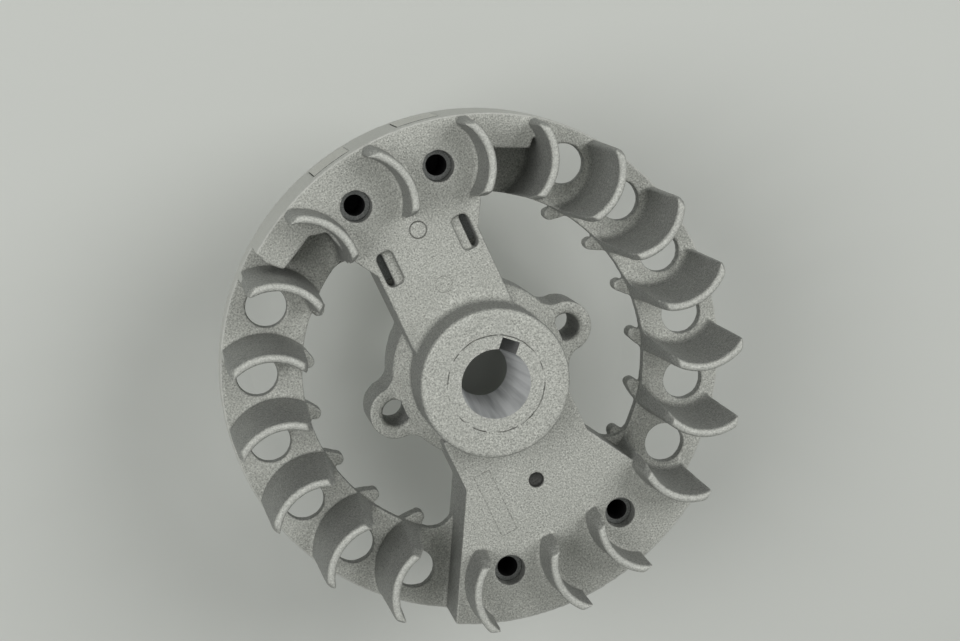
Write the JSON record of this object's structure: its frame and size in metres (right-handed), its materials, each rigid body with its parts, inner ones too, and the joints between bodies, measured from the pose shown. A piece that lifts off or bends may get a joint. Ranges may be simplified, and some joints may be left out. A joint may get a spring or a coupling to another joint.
{
  "type": "fan flywheel",
  "caption": "Cast aluminium engine flywheel with a tapered keyed hub, curved fan blades around a vented ring, and two heavy arms for the magnet and its counterweight.",
  "frame": {"origin": "on the shaft axis, in the plane of the rear edge of the rim", "axes": "+Z along the shaft axis towards the fan blades and the crankcase; +Y towards the middle of the magnet arm"},
  "size_m": [0.098, 0.098, 0.023],
  "materials": {
    "cast_aluminium": "matte, as cast and bead blasted",
    "sheet_steel": "dull rolled steel",
    "rivet_steel": "satin",
    "magnet": "dark, unpolished"
  },
  "bodies": {
    "root": {"hub": "cast_aluminium", "fan_ring": "cast_aluminium", "magnet_arm": "cast_aluminium", "counterweight_arm": "cast_aluminium", "blade_01": "cast_aluminium", "blade_02": "cast_aluminium", "blade_03": "cast_aluminium", "blade_04": "cast_aluminium", "blade_05": "cast_aluminium", "blade_06": "cast_aluminium", "blade_07": "cast_aluminium", "blade_08": "cast_aluminium", "blade_09": "cast_aluminium", "blade_10": "cast_aluminium", "blade_11": "cast_aluminium", "blade_12": "cast_aluminium", "blade_13": "cast_aluminium", "blade_14": "cast_aluminium", "blade_15": "cast_aluminium", "blade_16": "cast_aluminium", "blade_17": "cast_aluminium", "blade_18": "cast_aluminium", "blade_19": "cast_aluminium", "magnet": "magnet", "magnet_rivets": "rivet_steel", "counterweight_rivets": "rivet_steel", "pole_left_sheet_1": "sheet_steel", "pole_left_sheet_2": "sheet_steel", "pole_left_sheet_3": "sheet_steel", "pole_left_sheet_4": "sheet_steel", "pole_left_sheet_5": "sheet_steel", "pole_left_sheet_6": "sheet_steel", "pole_left_sheet_7": "sheet_steel", "pole_left_sheet_8": "sheet_steel", "pole_right_sheet_1": "sheet_steel", "pole_right_sheet_2": "sheet_steel", "pole_right_sheet_3": "sheet_steel", "pole_right_sheet_4": "sheet_steel", "pole_right_sheet_5": "sheet_steel", "pole_right_sheet_6": "sheet_steel", "pole_right_sheet_7": "sheet_steel", "pole_right_sheet_8": "sheet_steel", "counterweight_plate_1": "sheet_steel", "counterweight_plate_2": "sheet_steel", "counterweight_plate_3": "sheet_steel", "counterweight_plate_4": "sheet_steel", "counterweight_plate_5": "sheet_steel", "counterweight_plate_6": "sheet_steel"}
  },
  "joints": []
}
